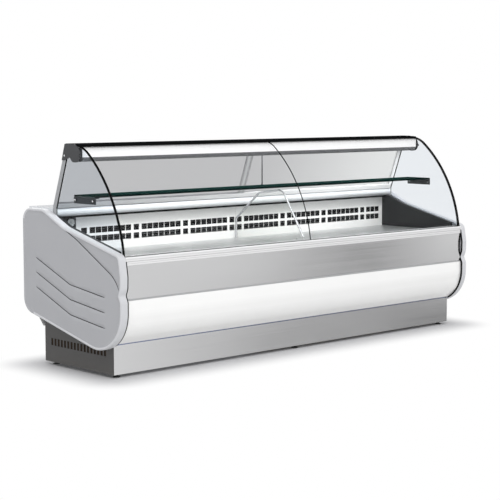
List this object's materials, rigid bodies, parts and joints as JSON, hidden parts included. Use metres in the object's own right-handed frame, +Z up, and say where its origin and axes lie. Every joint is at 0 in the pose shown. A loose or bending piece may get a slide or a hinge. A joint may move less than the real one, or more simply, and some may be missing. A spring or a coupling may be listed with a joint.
{
  "type": "refrigerated deli case",
  "caption": "Long free-standing refrigerated serve-over display case with lift-up curved front glass, moulded end panels, shelf, rear sliding doors and condensing unit in the base.",
  "frame": {"origin": "on the floor under the middle of the case", "axes": "+X along the case towards the control-panel end (the customer's right), +Y from the customer's side to the server's side, +Z up"},
  "size_m": [3.092, 0.962, 1.337],
  "materials": {
    "painted_steel": "satin",
    "plinth_steel": "satin",
    "white_enamel": "semi-gloss",
    "galvanised": "dull zinc",
    "black_enamel": "gloss",
    "fin_aluminium": "bare",
    "fan_blade": "satin",
    "copper": "drawn",
    "foam": "cast foam",
    "stainless": "brushed along the length",
    "dark_strip": "satin",
    "moulded_grey": "fine moulded grain",
    "dark_lining": "satin",
    "dark_baffle": "satin",
    "chrome_trim": "polished",
    "post_aluminium": "anodised",
    "black_anodised": "black anodised",
    "grey_cap": "satin",
    "lamp_glass": "opal",
    "diffuser": "frosted",
    "clear_glass": "clear toughened",
    "shelf_glass": "clear with green edges",
    "door_glass": "grey tinted",
    "black_seal": "matt",
    "black_foot": "matt",
    "bracket_steel": "satin",
    "track_plastic": "satin",
    "control_black": "satin",
    "switch_green": "gloss",
    "switch_white": "gloss"
  },
  "bodies": {
    "case": {"base_frame": "painted_steel", "levelling_feet": "black_foot", "kick_plate": "stainless", "plinth_sides": "plinth_steel", "rear_service_grille": "painted_steel", "unit_tray": "galvanised", "compressor": "black_enamel", "condenser": "fin_aluminium", "condenser_fan_shroud": "galvanised", "refrigerant_pipes": "copper", "drain_pan": "galvanised", "insulated_tub": "foam", "tub_liner": "stainless", "front_upper_panel": "stainless", "front_lower_panel": "white_enamel", "panel_strips": "dark_strip", "front_rail": "stainless", "end_panel_left": "moulded_grey", "end_panel_right": "moulded_grey", "end_linings": "dark_lining", "rear_casing": "white_enamel", "worktop": "stainless", "deck_plates": "stainless", "front_air_grille": "stainless", "air_grille": "white_enamel", "air_grille_mesh": "dark_baffle", "evaporator": "fin_aluminium", "evaporator_fan_plate": "galvanised", "thermometer_panel": "dark_baffle", "thermometer": "chrome_trim", "divider": "clear_glass", "rear_posts": "post_aluminium", "canopy_profile": "black_anodised", "light_housing": "white_enamel", "light_tube": "lamp_glass", "light_diffuser": "diffuser", "canopy_end_caps": "grey_cap", "hinge_pins": "chrome_trim", "side_glasses": "clear_glass", "glass_seals": "black_seal", "shelf_glass": "shelf_glass", "shelf_brackets": "bracket_steel", "shelf_hanger_rod": "chrome_trim", "screws": "chrome_trim", "rear_door_tracks": "track_plastic", "control_panel": "control_black"},
    "front_glass_left": {"front_glass_left": "clear_glass", "glass_clamps_left": "black_anodised"},
    "front_glass_right": {"front_glass_right": "clear_glass", "glass_clamps_right": "black_anodised"},
    "rear_door_left": {"rear_door_left": "door_glass", "rear_door_left_stiles": "track_plastic"},
    "rear_door_right": {"rear_door_right": "door_glass", "rear_door_right_stiles": "track_plastic"},
    "condenser_fan": {"condenser_fan": "fan_blade"},
    "evaporator_fan_left": {"evaporator_fan_left": "fan_blade"},
    "evaporator_fan_right": {"evaporator_fan_right": "fan_blade"},
    "thermostat_knob": {"thermostat_knob": "control_black"},
    "power_switch": {"power_switch": "switch_green"},
    "light_switch": {"light_switch": "switch_white"}
  },
  "joints": [
    {"name": "front_glass_left_lift", "type": "hinge", "parent": "case", "child": "front_glass_left", "pos_m": [0, 0.00856, 1.328], "axis": [-1, 0, 0], "range_deg": [0, 60]},
    {"name": "front_glass_right_lift", "type": "hinge", "parent": "case", "child": "front_glass_right", "pos_m": [0, 0.00856, 1.328], "axis": [-1, 0, 0], "range_deg": [0, 60]},
    {"name": "rear_door_left_slide", "type": "slide", "parent": "case", "child": "rear_door_left", "axis": [1, 0, 0], "range_m": [0, 1.46]},
    {"name": "rear_door_right_slide", "type": "slide", "parent": "case", "child": "rear_door_right", "axis": [-1, 0, 0], "range_m": [0, 1.46]},
    {"name": "condenser_fan_spin", "type": "hinge", "parent": "case", "child": "condenser_fan", "pos_m": [-1.294, -0.015, 0.192], "axis": [1, 0, 0], "continuous": true},
    {"name": "evaporator_fan_left_spin", "type": "hinge", "parent": "case", "child": "evaporator_fan_left", "pos_m": [-0.62, -0.059, 0.5531], "axis": [0, -1, 0], "continuous": true},
    {"name": "evaporator_fan_right_spin", "type": "hinge", "parent": "case", "child": "evaporator_fan_right", "pos_m": [0.62, -0.059, 0.5531], "axis": [0, -1, 0], "continuous": true},
    {"name": "thermostat_knob_turn", "type": "hinge", "parent": "case", "child": "thermostat_knob", "pos_m": [0.97, 0.477, 0.795], "axis": [0, -1, 0], "range_deg": [0, 270]},
    {"name": "power_switch_rock", "type": "hinge", "parent": "case", "child": "power_switch", "pos_m": [1.18, 0.465, 0.795], "axis": [-1, 0, 0], "range_deg": [0, 12]},
    {"name": "light_switch_rock", "type": "hinge", "parent": "case", "child": "light_switch", "pos_m": [1.13, 0.465, 0.795], "axis": [-1, 0, 0], "range_deg": [0, 12]}
  ]
}
